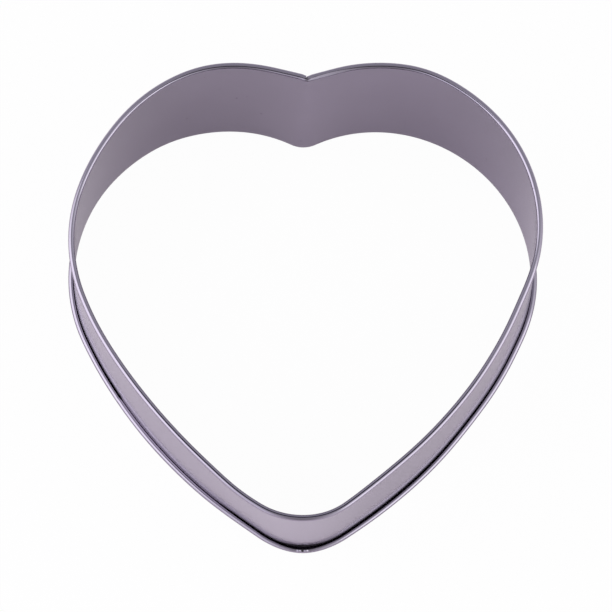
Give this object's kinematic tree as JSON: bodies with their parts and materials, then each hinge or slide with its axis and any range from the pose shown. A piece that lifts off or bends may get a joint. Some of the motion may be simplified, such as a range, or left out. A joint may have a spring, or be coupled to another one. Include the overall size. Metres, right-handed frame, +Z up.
{
  "type": "heart cake ring",
  "caption": "Bottomless heart-shaped cake ring of thin satin steel strip, with an outward wired roll along each edge and a welded seam in the notch.",
  "frame": {"origin": "centre of the bounding box's bottom, on the surface that the ring stands on, in the middle of the heart", "axes": "+Z up through the ring, +X across the heart to the right-hand lobe, +Y from the tip to the notch"},
  "size_m": [0.1518, 0.1498, 0.05],
  "materials": {
    "sheet": "satin",
    "wire": "plain drawn",
    "weld": "dull"
  },
  "bodies": {
    "root": {"wall_strip": "sheet", "top_rim_wire": "wire", "bottom_rim_wire": "wire", "seam_weld": "weld"}
  },
  "joints": []
}
